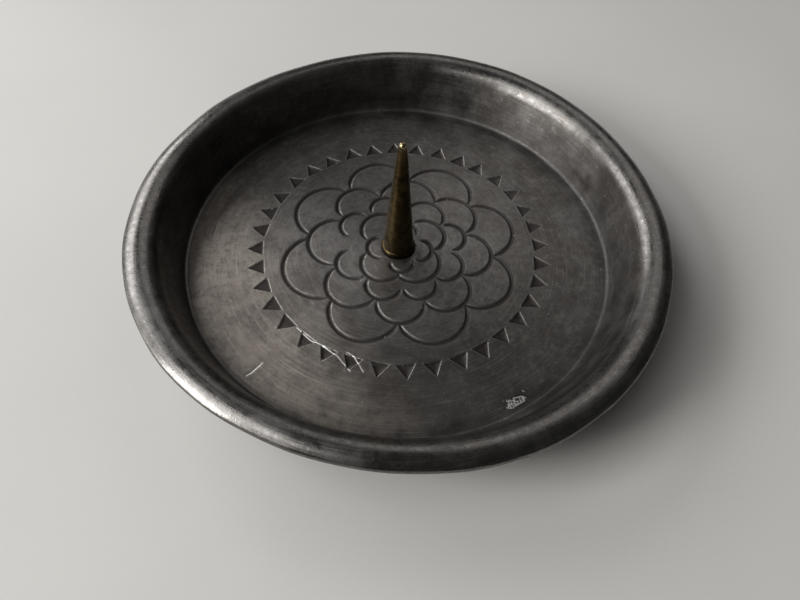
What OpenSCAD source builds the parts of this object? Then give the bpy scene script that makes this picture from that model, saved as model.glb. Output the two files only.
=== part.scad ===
/* [Dish] */
// Diameter at the widest circle of the lip
dish_diameter = 110; // [104:1:116]
// Diameter of the flat floor, measured at the crease below the wall
floor_diameter = 91; // [88:0.5:93]
// Height of the highest circle of the lip above the floor's top face
lip_rise = 11.6; // [10:0.1:14]
// Thickness of the metal in the floor, the wall and the lip
metal_thickness = 1.8; // [1.5:0.1:1.8]
// Radius of the lip's rounded top, measured on the outside of the bend
lip_radius = 4; // [3.2:0.1:4.8]
// How far the lip turns down past its highest circle, in degrees
lip_turn = 35; // [20:1:50]
// Radius of the round bead along the lip's edge, a little over half the metal's thickness
bead_radius = 1; // [0.95:0.05:1.2]
// Radius of the small fillet in the crease between floor and wall
crease_radius = 0.6; // [0.3:0.1:1.5]

/* [Foot ring] */
// Height of the foot ring below the floor
foot_height = 3; // [2.8:0.1:5]
// Outer diameter of the foot ring
foot_diameter = 84; // [70:1:86]
// Width of the foot ring
foot_width = 2.6; // [2:0.1:6]
// Slope of the foot ring's two sides, as a sideways run
foot_taper = 0.5; // [0:0.1:1]

/* [Ornament] */
// Depth of the struck ornament in the floor
strike_depth = 0.4; // [0.2:0.05:0.8]
// Number of triangles in the border
border_count = 36; // [24:1:40]
// Diameter of the circle through the middles of the triangles
border_diameter = 60.8; // [56:0.2:66]
// Radius from the middle of a triangle to its corners
triangle_radius = 2.1; // [1.5:0.1:2.3]
// Angle of the first triangle
border_start = 5; // [0:1:9]
// Width of a petal's crescent groove at its middle
groove_width = 0.9; // [0.5:0.1:1.2]

/* [Spike] */
// Height of the spike's tip above the floor
spike_height = 29.5; // [22:0.5:40]
// Diameter at the foot of the cone
spike_diameter = 6.5; // [5.5:0.1:7]
// Diameter of the blunt tip
tip_diameter = 1.5; // [1:0.1:2.5]
// Diameter of the rounded collar that seats on the floor
collar_diameter = 7.3; // [7.1:0.1:8]
// Height of the collar
collar_height = 1.4; // [1:0.1:2]

/* [Fastening] */
// Diameter of the shank that goes down through the floor
shank_diameter = 3; // [3:0.5:4]
// Outer diameter of the washer
washer_diameter = 9; // [8:0.5:12]
// Thickness of the washer
washer_thickness = 0.5; // [0.4:0.1:0.6]
// Width of the hex nut across its flats
nut_flats = 5.5; // [5.5:0.5:7]
// Thickness of the hex nut
nut_thickness = 1.8; // [1.4:0.1:1.8]
// How far the shank stands out below the nut
shank_stub = 0.3; // [0.1:0.1:0.4]

/* [Hidden] */

$fn = 96;

dish_r = dish_diameter / 2;
floor_r = floor_diameter / 2;
foot_r = foot_diameter / 2;
shank_r = shank_diameter / 2;
collar_r = collar_diameter / 2;

// Height of the floor's top and bottom faces above the table
floor_bottom = foot_height;
floor_top = foot_height + metal_thickness;

// The lip bends about one circle; its centre follows from the widest and the highest circle
bend_r = dish_r - bead_radius - (lip_radius - metal_thickness / 2) * sin(lip_turn);
bend_z = floor_top + lip_rise - lip_radius;

// The wall leaves the crease along the tangent to the lip's bend
crease_to_bend = norm([bend_r - floor_r, bend_z - floor_top]);
wall_angle = atan2(bend_z - floor_top, bend_r - floor_r) + asin(lip_radius / crease_to_bend);
wall_length = sqrt(crease_to_bend * crease_to_bend - lip_radius * lip_radius);

// Small overlap that joins neighbouring shapes, and a size larger than the dish for masks
join = 0.05;
mask_size = 40;

// Petal rings from the outside in: outermost reach, radius of one petal, and where each was struck
PETAL_RINGS = [
    [25.9, 7.6, [18, 63, 107, 152, 202, 250, 294, 335]],
    [20.1, 5.9, [40, 85, 130, 180, 230, 273, 312, 355]],
    [14.9, 4.1, [17, 60, 108, 153, 209, 253, 294, 334]],
    [10.7, 4.7, [42, 139, 233, 311]],
    [7.4, 3, [80, 187, 270, 352]],
];

// The shallow seat turned into the floor for the spike's collar
seat_r = collar_r + 0.1;
seat_depth = 0.15;

nut_r = nut_flats / 2 / cos(30);
washer_bottom = floor_bottom - washer_thickness;
nut_bottom = washer_bottom - nut_thickness;

// One circle for each petal of a ring, moved towards the middle by shift
module petal_discs(ring, shift = 0) {
    for (angle = ring[2])
        rotate(angle)
            translate([ring[0] - ring[1] - shift, 0])
                circle(r = ring[1]);
}

// The crescents of one ring end where its petals meet and go under the ring inside it
module petal_grooves(index) {
    ring = PETAL_RINGS[index];
    difference() {
        petal_discs(ring);
        petal_discs(ring, groove_width);
        circle(r = ring[0] - ring[1]);
        if (index + 1 < len(PETAL_RINGS))
            petal_discs(PETAL_RINGS[index + 1]);
    }
}

module border_triangles() {
    for (i = [0 : border_count - 1])
        rotate(border_start + i * 360 / border_count)
            translate([border_diameter / 2, 0])
                circle(r = triangle_radius, $fn = 3);
}

module ornament() {
    translate([0, 0, floor_top - strike_depth])
        linear_extrude(strike_depth + join) {
            for (index = [0 : len(PETAL_RINGS) - 1])
                petal_grooves(index);
            border_triangles();
        }
}

// Wall and lip, drawn with the wall along +X from the crease and the bowl on its +Y side
module wall_and_lip_section() {
    lip_end = 90 - wall_angle - lip_turn;
    translate([floor_r, floor_top])
        rotate(wall_angle) {
            translate([0, -metal_thickness])
                square([wall_length, metal_thickness]);
            translate([wall_length, -lip_radius]) {
                intersection() {
                    difference() {
                        circle(r = lip_radius);
                        circle(r = lip_radius - metal_thickness);
                    }
                    polygon([[0, 0], [0, mask_size], [mask_size, mask_size],
                        [mask_size, mask_size * tan(lip_end)]]);
                }
                rotate(lip_end)
                    translate([lip_radius - metal_thickness / 2, 0])
                        circle(r = bead_radius);
            }
        }
}

// The floor ends in a round heel about the crease, which runs into the outside of the wall
module floor_section() {
    translate([0, floor_bottom])
        square([floor_r, metal_thickness]);
    intersection() {
        translate([floor_r, floor_top])
            circle(r = metal_thickness);
        translate([0, floor_top - mask_size])
            square([2 * mask_size, mask_size]);
    }
}

module crease_fillet() {
    reach = crease_radius * tan(wall_angle / 2);
    wall_touch = [reach + reach * cos(wall_angle), reach * sin(wall_angle)];
    translate([floor_r - reach, floor_top])
        difference() {
            polygon([[0, -join], [reach + join, -join], wall_touch + [join, 0], wall_touch, [0, 0]]);
            translate([0, crease_radius])
                circle(r = crease_radius);
        }
}

module foot_section() {
    inner_r = foot_r - foot_width;
    polygon([[inner_r, 0], [foot_r, 0], [foot_r + foot_taper, foot_height + join],
        [inner_r - foot_taper, foot_height + join]]);
}

// Pewter dish: flat floor, steep wall, flared round lip and a turned foot ring
module dish() {
    color("dimgray")
        difference() {
            rotate_extrude() {
                floor_section();
                wall_and_lip_section();
                crease_fillet();
                foot_section();
            }
            ornament();
            translate([0, 0, floor_top - seat_depth])
                cylinder(r = seat_r, h = seat_depth + join);
            translate([0, 0, floor_bottom - join])
                cylinder(r = shank_r, h = metal_thickness + 2 * join);
        }
}

// Turned brass spike: cone with a blunt tip, a rounded collar and a shank through the floor
module spike() {
    seat_z = floor_top - seat_depth;
    tip_r = tip_diameter / 2;
    cone_height = spike_height - collar_height - tip_r;
    color("darkgoldenrod")
        translate([0, 0, seat_z]) {
            rotate_extrude() {
                square([collar_r - collar_height / 2, collar_height + seat_depth]);
                translate([collar_r - collar_height / 2, 0])
                    square([collar_height / 2, collar_height / 2 + seat_depth]);
                translate([collar_r - collar_height / 2, collar_height / 2 + seat_depth])
                    circle(r = collar_height / 2);
            }
            translate([0, 0, collar_height + seat_depth - join])
                cylinder(d1 = spike_diameter, d2 = tip_diameter, h = cone_height + join);
            translate([0, 0, collar_height + seat_depth + cone_height])
                sphere(r = tip_r);
            translate([0, 0, nut_bottom - shank_stub - seat_z])
                cylinder(r = shank_r, h = seat_z - nut_bottom + shank_stub + join);
        }
}

module washer() {
    color("silver")
        translate([0, 0, washer_bottom])
            difference() {
                cylinder(d = washer_diameter, h = washer_thickness);
                translate([0, 0, -join])
                    cylinder(r = shank_r, h = washer_thickness + 2 * join);
            }
}

module nut() {
    color("darkgray")
        translate([0, 0, nut_bottom])
            difference() {
                cylinder(r = nut_r, h = nut_thickness, $fn = 6);
                translate([0, 0, -join])
                    cylinder(r = shank_r, h = nut_thickness + 2 * join);
            }
}

dish();
spike();
washer();
nut();
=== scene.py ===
import math
import random

import bmesh
import bpy
import numpy as np
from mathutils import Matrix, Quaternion, Vector
from mathutils.geometry import delaunay_2d_cdt


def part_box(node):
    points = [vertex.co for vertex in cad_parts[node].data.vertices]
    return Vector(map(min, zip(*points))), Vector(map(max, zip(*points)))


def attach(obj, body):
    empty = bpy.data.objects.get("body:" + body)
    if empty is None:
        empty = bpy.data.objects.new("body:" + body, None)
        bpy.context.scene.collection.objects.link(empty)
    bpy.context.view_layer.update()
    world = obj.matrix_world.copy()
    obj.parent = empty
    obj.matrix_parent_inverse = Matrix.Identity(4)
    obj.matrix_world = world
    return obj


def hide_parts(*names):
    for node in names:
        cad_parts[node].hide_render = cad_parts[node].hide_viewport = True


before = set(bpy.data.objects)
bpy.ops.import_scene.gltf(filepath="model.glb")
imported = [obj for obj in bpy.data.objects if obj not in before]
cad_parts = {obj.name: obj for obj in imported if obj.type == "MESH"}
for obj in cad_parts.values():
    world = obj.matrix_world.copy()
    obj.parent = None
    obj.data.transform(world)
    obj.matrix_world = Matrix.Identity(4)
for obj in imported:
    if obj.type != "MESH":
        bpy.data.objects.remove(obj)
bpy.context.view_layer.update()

# Shapes are worked out in millimetres and turned into metres when a mesh is made.
MM = 0.001
TURN = 2 * math.pi

# ---- Driving dimensions, the same as the CAD model's or close to them --------------------------

METAL = 1.8                         # thickness of the dish's metal
FLOOR_R = 45.5                      # radius of the crease between floor and wall
LIP_R = 4.0                         # outer radius of the rounded lip
LIP_TURN = math.radians(35)         # how far the lip turns down past its crest
EDGE_R = 0.95                       # radius of the lip's rounded edge
CREASE_R = 0.9                      # fillet in the crease, a little worn
FOOT_R = 42.0                       # outer radius of the foot ring
FOOT_WIDTH = 2.6
FOOT_TAPER = 0.5                    # sideways run of the foot ring's sloping sides
FOOT_FILLET = 0.3                   # where the foot ring meets the floor
FOOT_EDGE_R = 0.35                  # rounding of the foot ring's lower edges
SEAT_GAP = 0.1                      # the seat is that much wider than the spike's collar
SEAT_DEPTH = 0.15
SEAT_SLOPE = 0.12                   # width of the seat's sloping side
HOLE_R = 1.5
SHANK_R = 1.48                      # a hair under the hole's radius

_, DISH_HIGH = (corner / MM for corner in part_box("dish"))
SPIKE_LOW, SPIKE_HIGH = (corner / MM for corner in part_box("spike"))
WASHER_LOW, WASHER_HIGH = (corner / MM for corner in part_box("washer"))
NUT_LOW, NUT_HIGH = (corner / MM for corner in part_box("nut"))

DISH_R = DISH_HIGH.x
FLOOR_BOTTOM = WASHER_HIGH.z
FLOOR_TOP = FLOOR_BOTTOM + METAL
COLLAR_R = SPIKE_HIGH.x

# ---- Struck ornament and wear on the floor -----------------------------------------------------

# Petal rings from the outside in: outermost reach, then (direction in degrees, radius) of each.
PETAL_RINGS = [
    (25.9, [(18, 7.6), (64, 7.8), (107, 7.1), (152, 7.8),
            (202, 8.5), (250, 7.5), (293, 7.4), (335, 7.4)]),
    (20.1, [(355, 5.7), (40, 5.8), (85, 6.4), (130, 5.4),
            (179, 6.5), (230, 6.0), (273, 5.1), (312, 5.5)]),
    (14.8, [(17, 3.8), (60, 4.4), (108, 3.7), (152, 3.7),
            (210, 4.2), (255, 3.9), (294, 3.7), (335, 4.0)]),
    (10.7, [(32, 4.6), (132, 4.7), (236, 4.8), (310, 5.3)]),
    (7.1, [(80, 2.9), (189, 3.0), (277, 2.6), (349, 2.9)]),
]
ORNAMENT_SHIFT = np.array([0.38, 0.1])  # the punches were set a little off the middle
LOW_LINE_INSET = 0.28               # a groove's lowest line is that far inside the petal's radius
GROOVE_DEPTH = 0.42
GROOVE_OUTSIDE = 0.95               # width of the gentle slope outside a groove's lowest line
GROOVE_INSIDE = 0.30                # width of the steep slope on the petal's side
NEIGHBOUR_FADE = 0.35               # a groove fades out that far inside its neighbours

TRIANGLE_COUNT = 36
TRIANGLE_START = 5.0                # degrees
TRIANGLE_RING_R = 30.6
TRIANGLE_R = 2.28                   # from a triangle's middle to its corners
TRIANGLE_DEPTH = 0.26
TRIANGLE_SLOPE = 0.14               # width of the pit's sloping sides

BURR_HEIGHT = 0.03                  # metal pushed up beside a groove or a pit
PETAL_BURR_GAP = 0.04               # from the cut's edge to the burr's crest
PETAL_BURR_WIDTH = 0.09
TRIANGLE_BURR_GAP = 0.07
TRIANGLE_BURR_WIDTH = 0.08
PETAL_PATINA = 4.5                  # how quickly a cut turns dark inwards
TRIANGLE_PATINA = 7.0

SCRIBED_RINGS = [(29.4, 0.002), (38.0, 0.006)]          # radius and depth of the layout circles
SCRIBED_WIDTH = 0.13

# Scratches on the floor, each a line through a few points
SCRATCHES = [
    [(-19.2, -22.4), (-16.2, -25.0), (-13.2, -26.4), (-10.6, -28.3), (-7.8, -31.5)],
    [(-8.6, -27.4), (-7.2, -28.3), (-5.2, -31.6)],
    [(-27.9, -34.2), (-26.5, -33.1), (-24.9, -31.0)],
]
SCRATCH_DEPTH = 0.05
SCRATCH_WIDTH = 0.13
CHALK_PLACE = (24.4, -36.6)         # a rubbed patch of pale flecks
CHALK_SPREAD = 1.15
CHALK_FLATTENING = 0.75             # the patch is that much shorter along Y
CHALK_COUNT = 110

# Small dents in the floor: x, y, radius, depth
DENTS = [(-17.3, -16.3, 0.9, 0.12), (-28.9, 6.2, 0.5, 0.14),
         (12.6, -35.3, 0.4, 0.06), (29.5, -28.0, 0.5, 0.05)]
FLOOR_WAVE = 0.05                   # the floor is that far from flat

# ---- Waves in the rim: how many go round, how high they are, and their phase -------------------

RIM_OUTWARD_WAVES = [(3, 0.55, math.radians(-135)), (5, 0.12, 0.8), (11, 0.05, 2.1),
                     (23, 0.035, 0.4)]
RIM_UPWARD_WAVES = [(2, 0.12, 0.6), (7, 0.06, 1.9)]
RIM_SHIFT = np.array([0.5, -0.5])   # the rim isn't quite concentric with the floor
RIM_FLAT_DIRECTION = 157            # where the rim is knocked flat, in degrees
RIM_FLAT_SPREAD = 7                 # degrees
RIM_FLAT_DEPTH = 0.45

# ---- How finely the dish is meshed -------------------------------------------------------------

# The floor's top face is one patch out to PATCH_R; the rest of the dish is turned about Z.
PATCH_R = 44.0
SEGMENTS = 400
HOLE_SEGMENTS = 48
TOP_SPACING = 1.1                   # between points on the plain parts of the floor's top face
UNDERSIDE_SPACING = 1.6
POINT_GAP = 0.085                   # no two points of the top face are closer than that

# Rows of points along each mark, by their distance from its line, the most wanted first
GROOVE_ROWS = (0.0, -0.22, 0.3, -0.45, 0.6, -0.56, 0.95, -0.72, 1.15)
TRIANGLE_ROWS = (0.0, TRIANGLE_SLOPE, -0.09, -0.2)      # measured inwards from the pit's edge
SCRATCH_ROWS = (0.0, -0.09, 0.09, -0.22, 0.22)
SCRIBED_ROWS = (0.0, -0.13, 0.13, -0.3, 0.3)
SEAT_ROWS = (-0.1, 0.0, 0.05, 0.1, 0.2)
DENT_ROWS = (0.0, 0.3, 0.6, 0.9, 1.3, 1.8)              # as shares of the dent's radius

# ---- Spike, washer and nut ---------------------------------------------------------------------

COLLAR_HEIGHT = 1.4
COLLAR_ROUNDING = 0.62
CONE_R = 3.25                       # at the foot of the cone
TIP_R = 0.78
CONE_BULGE = 0.09                   # the cone's side is slightly convex
CONE_STEPS = 46
THREAD_PITCH = 0.5
THREAD_DEPTH = 0.2
THREAD_LAND = 0.08                  # half the flat crest between two grooves
SPIKE_SEGMENTS = 64
WASHER_SEGMENTS = 72
WASHER_EDGE = 0.12                  # rounding of the washer's edges
NUT_SEGMENTS = 96

# ---- Base colours, linear ----------------------------------------------------------------------

PEWTER_DARK = (0.110, 0.103, 0.098, 1)
PEWTER_LIGHT = (0.190, 0.182, 0.176, 1)
PEWTER_BLOTCH = (0.140, 0.129, 0.119, 1)
PEWTER_RUBBED = (0.225, 0.215, 0.208, 1)
# Brown stain, made light enough to stand in for painted sheen on the floor's front left
PEWTER_BROWN_STAIN_AND_SHEEN = (0.40, 0.355, 0.312, 1)
PEWTER_HOLLOW = (0.085, 0.079, 0.075, 1)
PEWTER_RAISED = (0.33, 0.32, 0.31, 1)
PEWTER_HAIRLINE = (0.52, 0.49, 0.45, 1)
PEWTER_GRIT = (0.065, 0.061, 0.058, 1)
# Worn metal, and also the painted highlight on the crease line and on the burrs
PEWTER_WORN_AND_HIGHLIGHT = (0.42, 0.41, 0.395, 1)
PEWTER_PATINA = (0.024, 0.019, 0.017, 1)
# Painted shade in the floor's margin and the foot of the wall, along the crease
PEWTER_CREASE_SHADE = (0.040, 0.037, 0.037, 1)
PEWTER_OUTSIDE = (0.10, 0.096, 0.092, 1)
PEWTER_SPECK = (0.55, 0.54, 0.52, 1)
PEWTER_SCRATCH = (0.86, 0.85, 0.82, 1)
BRASS_DARK = (0.060, 0.045, 0.020, 1)
BRASS_LIGHT = (0.165, 0.115, 0.045, 1)
BRASS_RING = (0.035, 0.027, 0.015, 1)
BRASS_PATINA = (0.022, 0.018, 0.011, 1)
BRASS_WORN = (0.34, 0.28, 0.16, 1)
STEEL_LIGHT = (0.36, 0.36, 0.37, 1)
STEEL_DARK = (0.24, 0.235, 0.23, 1)
STEEL_RUST = (0.16, 0.11, 0.075, 1)
TABLE_DARK = (0.66, 0.655, 0.635, 1)
TABLE_LIGHT = (0.70, 0.695, 0.67, 1)
TABLE_GRAIN = (0.5, 0.49, 0.47, 1)

# ---- Light and camera --------------------------------------------------------------------------

LAMP_DISTANCE = 1.05                # metres from the dish
# Name, azimuth counter-clockwise from +X and elevation in degrees, width and height in metres,
# power in watts, colour
LAMPS = [
    ("window", 203, 31, 0.40, 0.36, 6.4, (1.0, 0.995, 0.975)),
    ("window_high", 202, 56, 0.75, 0.33, 2.7, (1.0, 0.995, 0.98)),
    ("window_low", 198, 13, 0.90, 0.20, 2.3, (1.0, 0.96, 0.9)),
    ("window_back", 145, 31, 0.80, 0.50, 4.9, (1.0, 0.995, 0.99)),
    ("back", 75, 45, 0.60, 0.45, 0.6, (1.0, 0.97, 0.95)),
]
ROOM_COLOUR = (0.97, 0.985, 1.0, 1)
ROOM_STRENGTH = 0.02
TABLE_HALF_WIDTH = 1500.0

CAMERA_ELEVATION = math.radians(54.95)
CAMERA_ROLL = math.radians(3.19)
CAMERA_DISTANCE = 138.3
CAMERA_TARGET = Vector((1.05, -14.25, FLOOR_TOP))
CAMERA_LENS, CAMERA_SENSOR = 30.17, 36.0
CAMERA_CLIP = 0.005                 # metres


# ---- Relief of the floor -----------------------------------------------------------------------

def smooth(t):
    """0 below 0, 1 above 1, and an even transition between them."""
    t = np.clip(t, 0, 1)
    return t * t * (3 - 2 * t)


def ridge(distance, width):
    """A rounded ridge, 1 on its crest."""
    return np.exp(-(distance / width) ** 2)


class Petal:
    """One struck petal: the circle that its groove's lowest line follows, and its direction."""

    def __init__(self, ring, direction, reach, radius):
        a = math.radians(direction)
        self.ring = ring
        self.out = np.array([math.cos(a), math.sin(a)])
        self.radius = radius - LOW_LINE_INSET
        self.centre = self.out * (reach - radius) + ORNAMENT_SHIFT

    def polar(self, xy):
        """Distance from the petal's centre, and the cosine of the angle from its direction."""
        v = xy - self.centre
        distance = np.hypot(v[:, 0], v[:, 1])
        return distance, (v @ self.out) / np.maximum(distance, 1e-6)


PETALS = [Petal(k, direction, reach, radius)
          for k, (reach, ring) in enumerate(PETAL_RINGS) for direction, radius in ring]


def shown_share(petal, xy):
    """1 where the petal's arc is on show, 0 inside its neighbours and the petals that cover it."""
    share = np.ones(len(xy))
    for other in PETALS:
        if other is petal or other.ring not in (petal.ring, petal.ring + 1):
            continue
        distance, _ = other.polar(xy)
        share *= smooth((distance - other.radius + NEIGHBOUR_FADE) / NEIGHBOUR_FADE)
    return share


def petal_relief(xy):
    """Height of the petals' grooves, with how far each point is into a cut and onto a burr."""
    cut = np.zeros(len(xy))
    burr = np.zeros(len(xy))
    for petal in PETALS:
        distance, cosine = petal.polar(xy)
        strength = smooth((cosine + 0.12) / 0.55)
        outside = GROOVE_OUTSIDE * (0.3 + 0.7 * strength)
        inside = GROOVE_INSIDE * (0.4 + 0.6 * strength)
        beyond = distance - petal.radius
        slope = np.where(beyond > 0, 1 - beyond / outside, 1 - smooth(-beyond / inside))
        depth = np.clip(slope, 0, 1) ** 1.25 * strength ** 0.6
        share = shown_share(petal, xy)
        cut = np.maximum(cut, depth * share)
        edge = ridge(beyond + inside + PETAL_BURR_GAP, PETAL_BURR_WIDTH)
        burr = np.maximum(burr, edge * strength * share)
    return -GROOVE_DEPTH * cut + BURR_HEIGHT * burr * (1 - cut), cut, burr


def triangle_places():
    """Middle, outward direction and size of each hand-struck triangle."""
    random.seed(7)
    places = []
    for k in range(TRIANGLE_COUNT):
        a = math.radians(TRIANGLE_START + k * 360 / TRIANGLE_COUNT + random.uniform(-0.5, 0.5))
        r = TRIANGLE_RING_R + random.uniform(-0.15, 0.15)
        turn = a + math.radians(random.uniform(-4, 4))
        size = TRIANGLE_R * random.uniform(0.95, 1.05)
        places.append((np.array([r * math.cos(a), r * math.sin(a)]) + ORNAMENT_SHIFT, turn, size))
    return places


TRIANGLES = triangle_places()


def triangle_distance(xy, place):
    """Signed distance to a triangle that points outwards: negative inside."""
    middle, turn, size = place
    v = xy - middle
    sides = [turn + math.pi + side * TURN / 3 for side in range(3)]
    return np.max([v @ np.array([math.cos(a), math.sin(a)]) - size / 2 for a in sides], axis=0)


def triangle_relief(xy):
    """Height of the triangles' pits, with how far each point is into a cut and onto a burr."""
    cut = np.zeros(len(xy))
    burr = np.zeros(len(xy))
    r = np.hypot(xy[:, 0], xy[:, 1])
    near = np.abs(r - TRIANGLE_RING_R) < 2 * TRIANGLE_R
    for place in TRIANGLES:
        distance = triangle_distance(xy[near], place)
        edge = ridge(distance - TRIANGLE_BURR_GAP, TRIANGLE_BURR_WIDTH)
        cut[near] = np.maximum(cut[near], smooth(-distance / TRIANGLE_SLOPE))
        burr[near] = np.maximum(burr[near], edge)
    return -TRIANGLE_DEPTH * cut + BURR_HEIGHT * burr, cut, burr


def scratch_segments():
    """Start and end of every straight piece of the scratches and of the chalky flecks."""
    random.seed(11)
    pieces = [pair for points in SCRATCHES for pair in zip(points, points[1:])]
    for _ in range(CHALK_COUNT):
        x = CHALK_PLACE[0] + random.gauss(0, CHALK_SPREAD)
        y = CHALK_PLACE[1] + random.gauss(0, CHALK_SPREAD * CHALK_FLATTENING)
        a, length = random.uniform(0, TURN), random.uniform(0.05, 0.35)
        pieces.append(((x, y), (x + length * math.cos(a), y + length * math.sin(a))))
    return [(np.array(start), np.array(end)) for start, end in pieces]


SCRATCH_SEGMENTS = scratch_segments()


def scratch_relief(xy):
    """Height of the scratches, with how bright each point is."""
    shine = np.zeros(len(xy))
    for start, end in SCRATCH_SEGMENTS:
        along = end - start
        t = np.clip(((xy - start) @ along) / (along @ along), 0, 1)
        gap = np.linalg.norm(xy - start - t[:, None] * along, axis=1)
        shine = np.maximum(shine, ridge(gap, SCRATCH_WIDTH))
    return -SCRATCH_DEPTH * shine, shine


def floor_relief(xy):
    """Height of the floor's top face, with the patina, the wear with painted highlight on the
    burrs, and the shine that the material reads.
    """
    r = np.hypot(xy[:, 0], xy[:, 1])
    angle = np.arctan2(xy[:, 1], xy[:, 0])
    petals, petal_cut, petal_burr = petal_relief(xy)
    triangles, triangle_cut, triangle_burr = triangle_relief(xy)
    scratches, shine = scratch_relief(xy)
    height = petals + triangles + scratches
    for x, y, radius, depth in DENTS:
        height -= depth * ridge(np.hypot(xy[:, 0] - x, xy[:, 1] - y), radius)
    for radius, depth in SCRIBED_RINGS:
        height -= depth * ridge(r - radius, SCRIBED_WIDTH)
    height += FLOOR_WAVE * np.sin(2 * angle + 1) * smooth(r / PATCH_R) * smooth((PATCH_R - r) / 8)
    seat = smooth((COLLAR_R + SEAT_GAP - r) / SEAT_SLOPE)
    height = np.where(seat > 0, -SEAT_DEPTH * seat, height)
    patina = np.maximum(smooth(petal_cut * PETAL_PATINA), smooth(triangle_cut * TRIANGLE_PATINA))
    patina = np.clip(patina + 0.9 * seat, 0, 1) * (1 - shine)
    # The burrs beside the grooves and pits are made lighter: rubbed bright, with painted highlight
    # along the grooves' edges
    wear = np.clip(0.9 * petal_burr + 0.8 * triangle_burr, 0, 1)
    return FLOOR_TOP + height, patina, wear, shine


# ---- Points and triangles of flat faces --------------------------------------------------------

def ring_points(radius, count, start=0.0):
    angles = start + np.arange(count) * TURN / count
    return np.stack([radius * np.cos(angles), radius * np.sin(angles)], 1)


def groove_points(petal, offset):
    """A row of points along a petal's groove, where it is on show."""
    radius = petal.radius + offset
    points = ring_points(radius, max(12, int(TURN * radius / 0.3))) + petal.centre
    _, cosine = petal.polar(points)
    return points[(cosine > -0.2) & (shown_share(petal, points) > 0.02)]


def triangle_points(place, inset):
    """A row of points round a triangle, inside its edge by the inset."""
    middle, turn, size = place
    radius = size - 2 * inset
    corners = [middle + radius * np.array([math.cos(turn + k * TURN / 3),
                                           math.sin(turn + k * TURN / 3)]) for k in range(3)]
    steps = max(4, int(radius / 0.22))
    t = np.arange(steps)[:, None] / steps
    return np.concatenate([corners[k] * (1 - t) + corners[(k + 1) % 3] * t for k in range(3)])


def scratch_points(start, end):
    """Rows of points along one straight piece of a scratch."""
    along = end - start
    length = np.linalg.norm(along)
    side = np.array([-along[1], along[0]]) / length
    t = np.linspace(0, 1, max(3, int(length / 0.2)))[:, None]
    return np.concatenate([start + along * t + side * shift for shift in SCRATCH_ROWS])


def ornament_points():
    """Points that follow the grooves, triangles, scratches, dents, scribed rings and the seat."""
    groups = [groove_points(petal, offset) for offset in GROOVE_ROWS for petal in PETALS]
    groups += [triangle_points(place, inset) for place in TRIANGLES for inset in TRIANGLE_ROWS]
    groups += [scratch_points(start, end) for start, end in SCRATCH_SEGMENTS]
    for x, y, radius, _ in DENTS:
        groups += [ring_points(radius * share, max(1, int(30 * share))) + np.array([x, y])
                   for share in DENT_ROWS]
    for radius, _ in SCRIBED_RINGS:
        groups += [ring_points(radius + shift, int(TURN * radius / 0.6)) for shift in SCRIBED_ROWS]
    groups += [ring_points(COLLAR_R + shift, 72) for shift in SEAT_ROWS]
    return np.concatenate(groups)


def background_points(inner, outer, spacing):
    """Points on evenly spaced circles between two radii."""
    groups = [np.zeros((0, 2))]
    count = max(1, int(round((outer - inner) / spacing)))
    for k in range(1, count):
        radius = inner + (outer - inner) * k / count
        groups.append(ring_points(radius, int(TURN * radius / spacing), 0.37 * k))
    return np.concatenate(groups)


def thin_out(points, gap):
    """Keeps each point that is at least gap from every point kept before it."""
    kept, cells = [], {}
    neighbours = [(u, v) for u in (-1, 0, 1) for v in (-1, 0, 1)]
    for point in points:
        i, j = int(point[0] // gap), int(point[1] // gap)
        close = any((other[0] - point[0]) ** 2 + (other[1] - point[1]) ** 2 < gap * gap
                    for u, v in neighbours for other in cells.get((i + u, j + v), ()))
        if not close:
            cells.setdefault((i, j), []).append(point)
            kept.append(point)
    return np.array(kept)


def patch(outer, inner, points):
    """Triangles that fill the space between two closed loops and use all the points."""
    everything = np.concatenate([outer, inner, points])
    n, m = len(outer), len(inner)
    edges = [(k, (k + 1) % n) for k in range(n)] + [(n + k, n + (k + 1) % m) for k in range(m)]
    made = delaunay_2d_cdt([Vector(p) for p in everything], edges, [], 0, 1e-7)
    xy = np.array([tuple(v) for v in made[0]])
    faces = np.array(made[2])
    middles = xy[faces].mean(1)
    inner_r = np.hypot(inner[:, 0], inner[:, 1]).min()
    return xy, faces[np.hypot(middles[:, 0], middles[:, 1]) > inner_r * math.cos(math.pi / m)]


# ---- Outlines in the (r, z) plane --------------------------------------------------------------

def arc(centre, radius, start, end, count):
    """Points of a circular arc; angles in radians."""
    return [(centre[0] + radius * math.cos(start + (end - start) * k / count),
             centre[1] + radius * math.sin(start + (end - start) * k / count))
            for k in range(count + 1)]


def line(start, end, count):
    """Points between start and end, without the two ends."""
    return [(start[0] + (end[0] - start[0]) * k / count, start[1] + (end[1] - start[1]) * k / count)
            for k in range(1, count)]


def wall_geometry():
    """The lip's bending centre, and the wall's slope, from the widest and the highest circle."""
    bead_r = 1.0
    bend = (DISH_R - bead_r - (LIP_R - METAL / 2) * math.sin(LIP_TURN), DISH_HIGH.z - LIP_R)
    run, rise = bend[0] - FLOOR_R, bend[1] - FLOOR_TOP
    slope = math.atan2(rise, run) + math.asin(LIP_R / math.hypot(run, rise))
    return bend, slope


def foot_section():
    """Outline of the foot ring, from its outer side to its inner side."""
    outer, inner, down = FOOT_R, FOOT_R - FOOT_WIDTH, -math.pi / 2
    outer_top, inner_top = outer + FOOT_TAPER, inner - FOOT_TAPER
    side_top = FLOOR_BOTTOM - FOOT_FILLET
    return [(outer_top + FOOT_FILLET, FLOOR_BOTTOM), (outer_top, side_top),
            *line((outer_top, side_top), (outer, FOOT_EDGE_R), 4),
            *arc((outer - FOOT_EDGE_R, FOOT_EDGE_R), FOOT_EDGE_R, 0.0, down, 4),
            *arc((inner + FOOT_EDGE_R, FOOT_EDGE_R), FOOT_EDGE_R, down, 2 * down, 4),
            *line((inner, FOOT_EDGE_R), (inner_top, side_top), 4),
            (inner_top, side_top), (inner_top - FOOT_FILLET, FLOOR_BOTTOM)]


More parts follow.
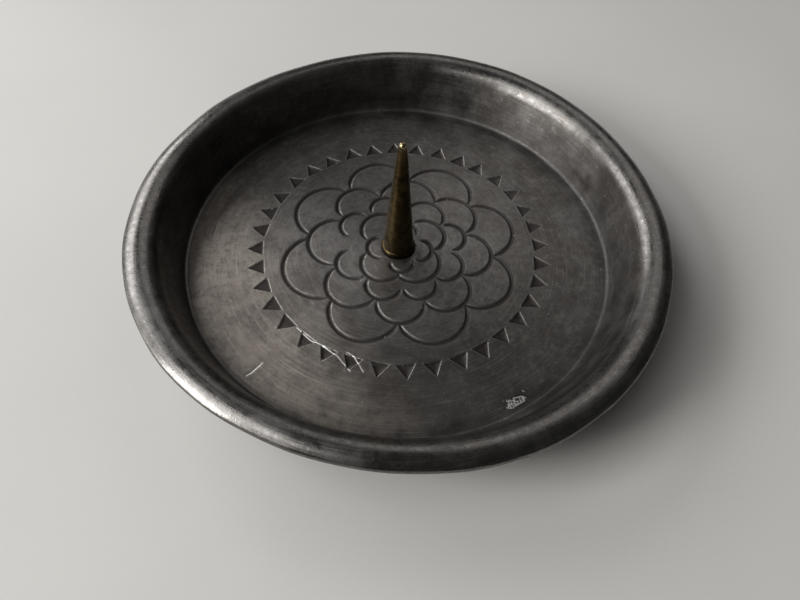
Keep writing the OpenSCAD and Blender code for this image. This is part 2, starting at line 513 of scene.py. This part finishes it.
def dish_section():
    """Outline from the floor patch's edge up over the lip and down to the underside's patch."""
    bend, slope = wall_geometry()
    reach = CREASE_R * math.tan(slope / 2)
    up = math.pi / 2
    end = up - LIP_TURN
    middle = LIP_R - METAL / 2
    edge_centre = (bend[0] + middle * math.cos(end), bend[1] + middle * math.sin(end))
    inside = arc((FLOOR_R - reach, FLOOR_TOP + CREASE_R), CREASE_R, -up, -up + slope, 7)
    lip = arc(bend, LIP_R, up + slope, end, 30)
    edge = arc(edge_centre, EDGE_R, end, end - math.pi, 14)
    under = arc(bend, LIP_R - METAL, end, up + slope, 14)
    heel = arc((FLOOR_R, FLOOR_TOP), METAL, slope - up, -up, 8)
    foot = foot_section()
    return [(PATCH_R, FLOOR_TOP), *inside, *line(inside[-1], lip[0], 8), *lip, *edge[1:-1], *under,
            *line(under[-1], heel[0], 8), *heel, *line(heel[-1], foot[0], 3), *foot]


def thread_section(low, high):
    """Outline of the shank's thread, from the shank's end up to the washer."""
    start = low + 0.2
    section = [(0.0, low), (SHANK_R - 0.25, low), (SHANK_R, start)]
    z = start
    while z < high - THREAD_PITCH:
        section += [(SHANK_R, z + THREAD_LAND), (SHANK_R - THREAD_DEPTH, z + THREAD_PITCH / 2),
                    (SHANK_R, z + THREAD_PITCH - THREAD_LAND)]
        z += THREAD_PITCH
    return section


def spike_section():
    """Outline from the shank's end up to the tip."""
    top = SPIKE_HIGH.z
    seat = FLOOR_TOP - SEAT_DEPTH
    collar_top = FLOOR_TOP + COLLAR_HEIGHT
    collar_centre = (COLLAR_R - COLLAR_ROUNDING, collar_top - 0.1 - COLLAR_ROUNDING)
    section = thread_section(SPIKE_LOW.z, WASHER_LOW.z)
    section += [(SHANK_R, WASHER_LOW.z), (SHANK_R, seat), (COLLAR_R - 0.35, seat),
                (COLLAR_R - 0.05, seat + 0.12)]
    section += arc(collar_centre, COLLAR_ROUNDING, -0.45, math.pi / 2, 9)
    section += [(CONE_R + 0.03, collar_top - 0.12), (CONE_R, collar_top + 0.02)]
    cone_top = top - TIP_R * 0.9
    for k in range(1, CONE_STEPS):
        t = k / CONE_STEPS
        bulge = CONE_BULGE * math.sin(math.pi * t)
        section.append((CONE_R + (TIP_R - CONE_R) * t + bulge,
                        collar_top + (cone_top - collar_top) * t))
    section += arc((0, cone_top - 0.05), TIP_R, 0.12, math.pi / 2 - 0.12, 7)
    section.append((0.0, top))
    return section


def washer_section():
    outer, low, high = WASHER_HIGH.x, WASHER_LOW.z, WASHER_HIGH.z
    left, right = HOLE_R + WASHER_EDGE, outer - WASHER_EDGE
    bottom, top, up = low + WASHER_EDGE, high - WASHER_EDGE, math.pi / 2
    return [(HOLE_R, bottom), *arc((left, bottom), WASHER_EDGE, 2 * up, 3 * up, 3),
            *line((left, low), (right, low), 5), *arc((right, bottom), WASHER_EDGE, -up, 0, 3),
            *arc((right, top), WASHER_EDGE, 0, up, 3), *line((right, high), (left, high), 5),
            *arc((left, top), WASHER_EDGE, up, 2 * up, 3)]


# ---- Meshes ------------------------------------------------------------------------------------

def waves(angle, table):
    return sum(height * np.sin(count * angle + phase) for count, height, phase in table)


def rim_wander(xy, z):
    """How the hand-spun wall strays from a true circle: more at the lip than at the crease."""
    r = np.hypot(xy[:, 0], xy[:, 1])
    angle = np.arctan2(xy[:, 1], xy[:, 0])
    share = smooth((r - FLOOR_R + 2) / (DISH_R - FLOOR_R)) * smooth((z - FLOOR_BOTTOM) / 6)
    flat = ridge(np.degrees(angle) % 360 - RIM_FLAT_DIRECTION, RIM_FLAT_SPREAD)
    out = waves(angle, RIM_OUTWARD_WAVES) - RIM_FLAT_DEPTH * flat
    direction = xy / np.maximum(r, 1e-6)[:, None]
    moved = xy + share[:, None] * (direction * out[:, None] + RIM_SHIFT)
    return moved, z + share * waves(angle, RIM_UPWARD_WAVES)


def make_object(name, points, faces, material):
    """An object in metres, shaded smooth, from points in millimetres."""
    mesh = bpy.data.meshes.new(name)
    mesh.from_pydata([tuple(p) for p in np.asarray(points) * MM], [], faces)
    mesh.update()
    mesh.polygons.foreach_set("use_smooth", [True] * len(mesh.polygons))
    mesh.materials.append(material)
    obj = bpy.data.objects.new(name, mesh)
    bpy.context.scene.collection.objects.link(obj)
    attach(obj, "root")
    return obj


def set_attribute(obj, name, values):
    attribute = obj.data.attributes.new(name, "FLOAT", "POINT")
    attribute.data.foreach_set("value", np.asarray(values, np.float32))


def weld(obj):
    """Merges points that coincide and turns all faces outwards."""
    bm = bmesh.new()
    bm.from_mesh(obj.data)
    bmesh.ops.remove_doubles(bm, verts=bm.verts, dist=0.004 * MM)
    bmesh.ops.recalc_face_normals(bm, faces=bm.faces)
    bm.to_mesh(obj.data)
    bm.free()
    obj.data.update()


def turned_faces(rings, segments, first=0, closed_loop=False):
    """Quads between rings of points that follow each other."""
    faces = []
    last = rings if closed_loop else rings - 1
    for ring in range(last):
        a = first + ring * segments
        b = first + ((ring + 1) % rings) * segments
        for k in range(segments):
            n = (k + 1) % segments
            faces.append((a + k, a + n, b + n, b + k))
    return faces


def turned_points(section, segments):
    angles = np.arange(segments) * TURN / segments
    return np.concatenate([
        np.stack([r * np.cos(angles), r * np.sin(angles), np.full(segments, z)], 1)
        for r, z in section])


def capped(section, segments):
    """Points and faces of a turned solid whose outline starts and ends on the axis."""
    points = [(0.0, 0.0, section[0][1])]
    points += [tuple(p) for p in turned_points(section[1:-1], segments)]
    points.append((0.0, 0.0, section[-1][1]))
    rings = len(section) - 2
    last = len(points) - 1
    base = 1 + (rings - 1) * segments
    faces = [(1 + k, 1 + (k + 1) % segments, 0) for k in range(segments)]
    faces += [tuple(reversed(face)) for face in turned_faces(rings, segments, 1)]
    faces += [(last, base + k, base + (k + 1) % segments) for k in range(segments)]
    return np.array(points), faces


def loop_indices(xy, loop):
    """Which of the points are the loop's, in its order."""
    return [int(np.argmin(np.hypot(*(xy - point).T))) for point in loop]


def floor_patch(hole_ring):
    """Points in the plane and triangles of the floor's top face."""
    wanted = np.concatenate([ornament_points(),
                             background_points(HOLE_R, PATCH_R, TOP_SPACING)])
    r = np.hypot(wanted[:, 0], wanted[:, 1])
    wanted = thin_out(wanted[(r > HOLE_R + 0.2) & (r < PATCH_R - 0.4)], POINT_GAP)
    return patch(ring_points(PATCH_R, SEGMENTS), hole_ring, wanted)


def underside_patch(outer_r, hole_ring):
    """Points and triangles of the face inside the foot ring, with two low turned ridges."""
    xy, faces = patch(ring_points(outer_r, SEGMENTS), hole_ring,
                      background_points(HOLE_R, outer_r - 0.5, UNDERSIDE_SPACING))
    r = np.hypot(xy[:, 0], xy[:, 1])
    ridges = 0.05 * (ridge(r - 14, 0.4) + ridge(r - 30, 0.4))
    return np.column_stack([xy, FLOOR_BOTTOM + ridges]), faces


def wall_masks(section):
    """For each turned point: the lip's crest, the crease, the painted highlight line in it, the
    outside.
    """
    masks = []
    for k, (r, z) in enumerate(section):
        crest = smooth((z - DISH_HIGH.z + 1.6) / 1.5)
        crease = ridge(r - FLOOR_R, 0.8) if FLOOR_TOP <= z < FLOOR_TOP + 2 else 0.0
        # A thin painted highlight along the crease's fillet, carried by the wear attribute
        crease_highlight_line = ridge(r - FLOOR_R + 0.35, 0.22) if FLOOR_TOP <= z < FLOOR_TOP + 0.8 else 0.0
        outside = 1.0 if k > len(section) * 0.55 else 0.0
        masks.append((crest, crease, crease_highlight_line, outside))
    return np.repeat(masks, SEGMENTS, axis=0).T


def make_dish(material):
    """The floor's top face, the turned wall and foot, the underside, and the hole's wall."""
    section = dish_section()
    hole_ring = ring_points(HOLE_R, HOLE_SEGMENTS)
    top_xy, top_faces = floor_patch(hole_ring)
    top_z, patina, wear, shine = floor_relief(top_xy)
    top = np.column_stack([top_xy, top_z])
    turned = turned_points(section, SEGMENTS)
    under, under_faces = underside_patch(section[-1][0], hole_ring)
    points = np.concatenate([top, turned, under])
    points[:, :2], points[:, 2] = rim_wander(points[:, :2], points[:, 2])

    under_first = len(top) + len(turned)
    faces = [tuple(face) for face in top_faces]
    faces += turned_faces(len(section), SEGMENTS, len(top))
    faces += [tuple(under_first + i for i in reversed(face)) for face in under_faces]
    top_hole = loop_indices(top_xy, hole_ring)
    under_hole = [under_first + i for i in loop_indices(under[:, :2], hole_ring)]
    for k in range(HOLE_SEGMENTS):
        n = (k + 1) % HOLE_SEGMENTS
        faces.append((top_hole[n], top_hole[k], under_hole[k], under_hole[n]))

    obj = make_object("pewter_dish", points, faces, material)
    crest, crease, crease_highlight_line, outside = wall_masks(section)
    no_top, no_wall, no_under = np.zeros(len(top)), np.zeros(len(turned)), np.zeros(len(under))
    # The crest's wear and the crease's painted highlight line both lighten the colour
    wall_wear_and_highlight = np.maximum(0.35 * crest, 0.8 * crease_highlight_line)
    set_attribute(obj, "patina", np.concatenate([patina, 0.35 * crease, no_under + 0.25]))
    set_attribute(obj, "wear", np.concatenate([wear, wall_wear_and_highlight, no_under]))
    set_attribute(obj, "scratch", np.concatenate([shine, no_wall, no_under]))
    set_attribute(obj, "outside", np.concatenate([no_top, outside, no_under + 1]))
    weld(obj)
    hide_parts("dish")


def make_spike(material):
    """The turned spike, its cone a little uneven, worn at the tip and dark at the foot."""
    points, faces = capped(spike_section(), SPIKE_SEGMENTS)
    z = points[:, 2]
    share = np.clip((z - FLOOR_TOP) / (SPIKE_HIGH.z - FLOOR_TOP), 0, 1)
    angle = np.arctan2(points[:, 1], points[:, 0])
    uneven = 0.03 * np.sin(3 * angle + 0.35 * z) * np.sin(0.8 * z) * smooth(share * 6)
    r = np.hypot(points[:, 0], points[:, 1])
    points[:, :2] *= (1 + uneven / np.maximum(r, 0.5))[:, None]
    obj = make_object("brass_spike", points, faces, material)
    set_attribute(obj, "wear", smooth((z - SPIKE_HIGH.z + 2.2) / 2.0))
    set_attribute(obj, "patina", smooth((FLOOR_TOP + 2.6 - z) / 2.2))
    weld(obj)
    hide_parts("spike")


def make_washer(material):
    section = washer_section()
    points = turned_points(section, WASHER_SEGMENTS)
    faces = turned_faces(len(section), WASHER_SEGMENTS, closed_loop=True)
    obj = make_object("steel_washer", points, faces, material)
    weld(obj)
    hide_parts("washer")


def nut_points():
    """Rings of points: the hole's lower edge, the hexagon's levels, and the hole's upper edge."""
    flat = min(NUT_HIGH.x, NUT_HIGH.y)
    corner = flat / math.cos(math.pi / 6)
    low, high = NUT_LOW.z, NUT_HIGH.z
    angles = np.arange(NUT_SEGMENTS) * TURN / NUT_SEGMENTS
    hexagon = flat / np.cos((angles + math.pi / 6) % (math.pi / 3) - math.pi / 6)
    chamfer = (corner - flat) * math.tan(math.radians(30)) + 0.06
    levels = [low, low + chamfer * 0.33, low + chamfer * 0.66, low + chamfer, (low + high) / 2,
              high - chamfer, high - chamfer * 0.66, high - chamfer * 0.33, high]
    rings = [turned_points([(HOLE_R, low + 0.15), (HOLE_R + 0.2, low)], NUT_SEGMENTS)]
    for z in levels:
        depth = max(0.0, chamfer - min(z - low, high - z)) / chamfer
        cone = corner + 0.02 - depth * (corner - flat + 0.12)
        radius = np.minimum(hexagon, cone)
        rings.append(np.stack([radius * np.cos(angles), radius * np.sin(angles),
                               np.full(NUT_SEGMENTS, z)], 1))
    rings.append(turned_points([(HOLE_R + 0.2, high), (HOLE_R, high - 0.15)], NUT_SEGMENTS))
    return np.concatenate(rings)


def make_nut(material):
    """Hex nut: each height's outline is the hexagon, cut back by the chamfer's cone."""
    points = nut_points()
    faces = turned_faces(len(points) // NUT_SEGMENTS, NUT_SEGMENTS, closed_loop=True)
    obj = make_object("steel_nut", points, faces, material)
    weld(obj)
    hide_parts("nut")


# ---- Materials ---------------------------------------------------------------------------------

class Nodes:
    """A short way to write a material's node tree. Lengths are in millimetres."""

    def __init__(self, name):
        self.material = bpy.data.materials.new(name)
        self.material.use_nodes = True
        self.tree = self.material.node_tree
        self.shader = self.tree.nodes["Principled BSDF"]
        position = self.add("ShaderNodeTexCoord").outputs["Object"]
        self.place = self.add("ShaderNodeVectorMath", {0: position, 1: (1 / MM, 1 / MM, 1 / MM)},
                              operation="MULTIPLY").outputs[0]
        self.x, self.y, self.z = self.add("ShaderNodeSeparateXYZ", {0: self.place}).outputs
        self.r = self.math("SQRT", self.total(self.times(self.x, self.x),
                                              self.times(self.y, self.y)))

    def add(self, kind, inputs=None, **settings):
        node = self.tree.nodes.new(kind)
        for name, value in settings.items():
            setattr(node, name, value)
        for key, value in (inputs or {}).items():
            self.put(node.inputs[key], value)
        return node

    def put(self, socket, value):
        """Links a socket's value, or sets a number or colour on the socket itself."""
        if isinstance(value, bpy.types.NodeSocket):
            self.tree.links.new(value, socket)
        else:
            socket.default_value = value

    def math(self, operation, *values):
        return self.add("ShaderNodeMath", dict(enumerate(values)), operation=operation).outputs[0]

    def total(self, first, *others):
        for other in others:
            first = self.math("ADD", first, other)
        return first

    def times(self, first, *others):
        for other in others:
            first = self.math("MULTIPLY", first, other)
        return first

    def noise(self, place, scale, detail, roughness):
        node = self.add("ShaderNodeTexNoise", {"Vector": place, "Scale": scale, "Detail": detail,
                                               "Roughness": roughness})
        return node.outputs["Fac"]

    def ramp(self, value, low, high, to_low=0.0, to_high=1.0, kind="SMOOTHSTEP"):
        """The value from low to high, mapped to to_low to to_high."""
        node = self.add("ShaderNodeMapRange", {"Value": value, "From Min": low, "From Max": high,
                                               "To Min": to_low, "To Max": to_high})
        node.interpolation_type = kind
        return node.outputs["Result"]

    def mix(self, share, a, b, blend="MIX"):
        node = self.add("ShaderNodeMix", data_type="RGBA", blend_type=blend)
        self.put(node.inputs[0], share)
        self.put(node.inputs[6], a)
        self.put(node.inputs[7], b)
        return node.outputs[2]

    def layers(self, tone, *layers):
        """The tone under layers, each a share and a colour."""
        for share, colour in layers:
            tone = self.mix(share, tone, colour)
        return tone

    def attribute(self, name):
        return self.add("ShaderNodeAttribute", attribute_name=name).outputs["Fac"]

    def combined(self, x, y, z):
        return self.add("ShaderNodeCombineXYZ", {0: x, 1: y, 2: z}).outputs[0]

    def stretched(self, turn, across, along):
        """Noise coordinates for long thin marks that run at an angle, in degrees."""
        mapping = self.add("ShaderNodeMapping", {"Vector": self.place}, vector_type="TEXTURE")
        mapping.inputs["Rotation"].default_value = (0, 0, math.radians(turn))
        mapping.inputs["Scale"].default_value = (1 / along, 1 / across, 1)
        return mapping.outputs[0]

    def around(self, lines, along):
        """Noise coordinates that change fast with radius and height and slowly round the axis."""
        safe = self.math("MAXIMUM", self.r, 0.01)
        reach = self.total(self.times(self.r, lines), self.times(self.z, lines * 0.8))
        return self.combined(self.times(self.math("DIVIDE", self.x, safe), along),
                             self.times(self.math("DIVIDE", self.y, safe), along), reach)

    def bump(self, strength, depth, *weighted):
        """Gives the shader a bump from noises and their weights."""
        height = self.total(*[self.times(noise, weight) for noise, weight in weighted])
        node = self.add("ShaderNodeBump", {"Strength": strength, "Distance": depth * MM,
                                           "Height": height})
        self.put(self.shader.inputs["Normal"], node.outputs[0])

    def surface(self, tone, roughness, metallic):
        self.put(self.shader.inputs["Base Color"], tone)
        self.put(self.shader.inputs["Roughness"], roughness)
        self.put(self.shader.inputs["Metallic"], metallic)


class PewterPatterns:
    """The noises and painted values that the pewter's colour, gloss and bump share."""

    def __init__(self, n):
        self.patina, self.wear = n.attribute("patina"), n.attribute("wear")
        self.outside, self.scratch = n.attribute("outside"), n.attribute("scratch")
        self.fine = n.noise(n.around(lines=5.0, along=3.0), 1.0, 5.0, 0.65)
        self.coarse = n.noise(n.around(lines=1.3, along=1.4), 1.0, 3.0, 0.5)
        self.mottle = n.noise(n.place, 0.16, 6.0, 0.62)
        self.blotch = n.noise(n.place, 0.055, 3.0, 0.5)
        self.grit = n.noise(n.place, 2.6, 4.0, 0.7)
        self.pitting = n.noise(n.place, 0.75, 5.0, 0.68)
        self.specks = n.ramp(n.noise(n.place, 1.7, 2.0, 0.4), 0.735, 0.775)
        self.hairlines = n.ramp(n.noise(n.around(lines=8.0, along=5.5), 1.0, 2.0, 0.4), 0.60, 0.70)
        rubs = n.ramp(n.noise(n.stretched(34, 5.0, 0.35), 1.0, 2.0, 0.4), 0.66, 0.74)
        cross_rubs = n.ramp(n.noise(n.stretched(-52, 6.0, 0.4), 1.0, 2.0, 0.4), 0.68, 0.76)
        self.rubs = n.math("MAXIMUM", rubs, cross_rubs)


def pewter_tone(n, p):
    """Mottled grey, brown at the front left of the floor with painted sheen there, dark in the cuts
    and the crease, and painted shade along the crease.
    """
    on_floor = n.ramp(n.r, 46.0, 44.0)
    # Brown stain with painted sheen: the floor's front left is made browner and lighter where the
    # light from the left brightens it
    front_left = n.ramp(n.total(n.times(n.x, -0.8), n.times(n.y, -0.6)), 14.0, 38.0)
    brown_stain_and_sheen = n.times(front_left, on_floor, n.ramp(p.mottle, 0.25, 0.6, 0.5, 1.0))
    rubbed = n.times(n.ramp(n.r, 33.0, 18.0), n.ramp(p.mottle, 0.2, 0.75, 0.45, 0.9))
    streak = n.times(n.ramp(p.fine, 0.3, 0.72, 0.84, 1.14, "LINEAR"),
                     n.ramp(p.coarse, 0.3, 0.7, 0.92, 1.06, "LINEAR"))
    lines = n.math("MAXIMUM", n.times(p.hairlines, n.total(n.times(brown_stain_and_sheen, 0.36), 0.20)),
                   n.times(p.rubs, 0.22))
    # Painted shade: a dark band across the crease, where the wall shades the floor
    crease_shade_band = n.times(n.ramp(n.r, 41.5, 45.3), n.ramp(n.r, 49.0, 46.2))

    tone = n.layers(PEWTER_DARK, (n.ramp(p.mottle, 0.32, 0.7), PEWTER_LIGHT),
                    (n.times(n.ramp(p.blotch, 0.4, 0.65), 0.45), PEWTER_BLOTCH),
                    (rubbed, PEWTER_RUBBED), (brown_stain_and_sheen, PEWTER_BROWN_STAIN_AND_SHEEN))
    tone = n.mix(1.0, tone, n.combined(streak, streak, streak), "MULTIPLY")
    return n.layers(tone, (n.ramp(p.pitting, 0.45, 0.66, 0.0, 0.42), PEWTER_HOLLOW),
                    (n.ramp(p.pitting, 0.46, 0.32, 0.0, 0.25), PEWTER_RAISED),
                    (lines, PEWTER_HAIRLINE),
                    (n.times(n.ramp(p.grit, 0.52, 0.75), 0.25), PEWTER_GRIT),
                    # Lighter where worn on the crest, with painted highlight on the crease line and
                    # the burrs
                    (n.times(p.wear, n.ramp(p.grit, 0.3, 0.6, 0.25, 0.75)), PEWTER_WORN_AND_HIGHLIGHT),
                    (n.times(p.patina, 0.93), PEWTER_PATINA),
                    (n.times(crease_shade_band, n.ramp(p.mottle, 0.25, 0.7, 0.65, 0.3)), PEWTER_CREASE_SHADE),
                    (n.times(p.outside, 0.35), PEWTER_OUTSIDE),
                    (n.times(p.specks, 0.55), PEWTER_SPECK),
                    (n.ramp(p.scratch, 0.3, 0.75), PEWTER_SCRATCH))


def pewter_roughness(n, p):
    """Glossier on the lip and on worn edges, duller in the patina."""
    on_lip = n.ramp(n.r, 47.0, 50.0)
    return n.total(n.ramp(p.mottle, 0.3, 0.7, 0.38, 0.50),
                   n.ramp(p.pitting, 0.35, 0.65, -0.05, 0.05),
                   n.times(on_lip, -0.11), n.ramp(p.fine, 0.3, 0.7, -0.05, 0.06),
                   n.times(p.patina, 0.2), n.times(p.wear, -0.1))


def make_pewter():
    n = Nodes("pewter")
    p = PewterPatterns(n)
    n.surface(pewter_tone(n, p), pewter_roughness(n, p), n.total(n.times(p.patina, -0.5), 0.95))
    n.bump(0.55, 0.05, (p.fine, 0.3), (p.coarse, 0.35), (p.grit, 0.35), (p.mottle, 0.8),
           (p.pitting, 0.9), (p.hairlines, -0.12))
    # A quarter turn spreads the highlights across the lathe's lines.
    tangent = n.add("ShaderNodeTangent", direction_type="RADIAL", axis="Z")
    n.put(n.shader.inputs["Tangent"], tangent.outputs[0])
    n.put(n.shader.inputs["Anisotropic"], 0.5)
    n.put(n.shader.inputs["Anisotropic Rotation"], 0.25)
    return n.material


def make_brass():
    """Dark aged brass, bright where the tip is worn."""
    n = Nodes("brass")
    wear, patina = n.attribute("wear"), n.attribute("patina")
    rings = n.noise(n.around(lines=4.0, along=1.2), 1.0, 4.0, 0.6)
    mottle = n.noise(n.place, 0.5, 5.0, 0.6)
    grit = n.noise(n.place, 4.0, 4.0, 0.7)
    tone = n.layers(BRASS_DARK, (n.ramp(mottle, 0.3, 0.7), BRASS_LIGHT),
                    (n.ramp(rings, 0.45, 0.75, 0.0, 0.5), BRASS_RING),
                    (n.times(patina, 0.65), BRASS_PATINA), (wear, BRASS_WORN))
    n.surface(tone, n.total(n.ramp(mottle, 0.3, 0.7, 0.24, 0.36), n.times(wear, -0.08)), 0.95)
    n.bump(0.5, 0.04, (rings, 0.8), (grit, 0.4))
    return n.material


def make_steel():
    """Dull steel with a trace of rust."""
    n = Nodes("steel")
    rings = n.noise(n.around(lines=6.0, along=2.0), 1.0, 4.0, 0.6)
    mottle = n.noise(n.place, 0.7, 5.0, 0.6)
    grit = n.noise(n.place, 5.0, 3.0, 0.7)
    tone = n.layers(STEEL_LIGHT, (n.ramp(mottle, 0.35, 0.7), STEEL_DARK),
                    (n.ramp(grit, 0.6, 0.75, 0.0, 0.5), STEEL_RUST))
    n.surface(tone, n.ramp(mottle, 0.3, 0.7, 0.3, 0.45), 0.95)
    n.bump(0.4, 0.03, (rings, 0.6), (grit, 0.4))
    return n.material


def make_tabletop():
    """Pale, matt, faintly mottled."""
    n = Nodes("tabletop")
    mottle = n.noise(n.place, 0.012, 4.0, 0.5)
    grain = n.noise(n.place, 1.1, 4.0, 0.65)
    tone = n.layers(TABLE_DARK, (n.ramp(mottle, 0.3, 0.7), TABLE_LIGHT),
                    (n.ramp(grain, 0.35, 0.75, 0.0, 0.06), TABLE_GRAIN))
    n.surface(tone, 0.6, 0.0)
    n.bump(0.15, 0.05, (grain, 1.0))
    return n.material


# ---- Stage, light and camera -------------------------------------------------------------------

def make_floor():
    half = TABLE_HALF_WIDTH
    points = [(-half, -half, 0), (half, -half, 0), (half, half, 0), (-half, half, 0)]
    mesh = bpy.data.meshes.new("tabletop")
    mesh.from_pydata([tuple(c * MM for c in p) for p in points], [], [(0, 1, 2, 3)])
    mesh.materials.append(make_tabletop())
    obj = bpy.data.objects.new("tabletop", mesh)
    bpy.context.scene.collection.objects.link(obj)


def softbox(name, azimuth, elevation, width, height, power, colour):
    """A rectangular lamp aimed at the dish."""
    a, e = math.radians(azimuth), math.radians(elevation)
    direction = Vector((math.cos(a) * math.cos(e), math.sin(a) * math.cos(e), math.sin(e)))
    light = bpy.data.lights.new(name, "AREA")
    light.shape = "RECTANGLE"
    light.size, light.size_y = width, height
    light.energy = power
    light.color = colour
    obj = bpy.data.objects.new(name, light)
    obj.location = direction * LAMP_DISTANCE
    obj.rotation_euler = (-direction).to_track_quat("-Z", "Y").to_euler()
    obj.visible_camera = False
    bpy.context.scene.collection.objects.link(obj)


def make_light():
    for lamp in LAMPS:
        softbox(*lamp)
    world = bpy.data.worlds.new("room")
    world.use_nodes = True
    background = world.node_tree.nodes["Background"]
    background.inputs["Color"].default_value = ROOM_COLOUR
    background.inputs["Strength"].default_value = ROOM_STRENGTH
    bpy.context.scene.world = world


def make_camera():
    """The camera looks down at the dish from the front, a little rolled, from close by."""
    back = Vector((0, -math.cos(CAMERA_ELEVATION), math.sin(CAMERA_ELEVATION)))
    data = bpy.data.cameras.new("camera")
    data.lens, data.sensor_width = CAMERA_LENS, CAMERA_SENSOR
    data.clip_start = CAMERA_CLIP
    camera = bpy.data.objects.new("camera", data)
    camera.location = (CAMERA_TARGET + back * CAMERA_DISTANCE) * MM
    look = (-back).to_track_quat("-Z", "Y")
    camera.rotation_mode = "QUATERNION"
    camera.rotation_quaternion = look @ Quaternion((0, 0, 1), CAMERA_ROLL)
    bpy.context.scene.collection.objects.link(camera)
    bpy.context.scene.camera = camera


def main():
    pewter, brass, steel = make_pewter(), make_brass(), make_steel()
    make_dish(pewter)
    make_spike(brass)
    make_washer(steel)
    make_nut(steel)
    make_floor()
    make_light()
    make_camera()
    bpy.context.scene.view_settings.view_transform = "Standard"


main()
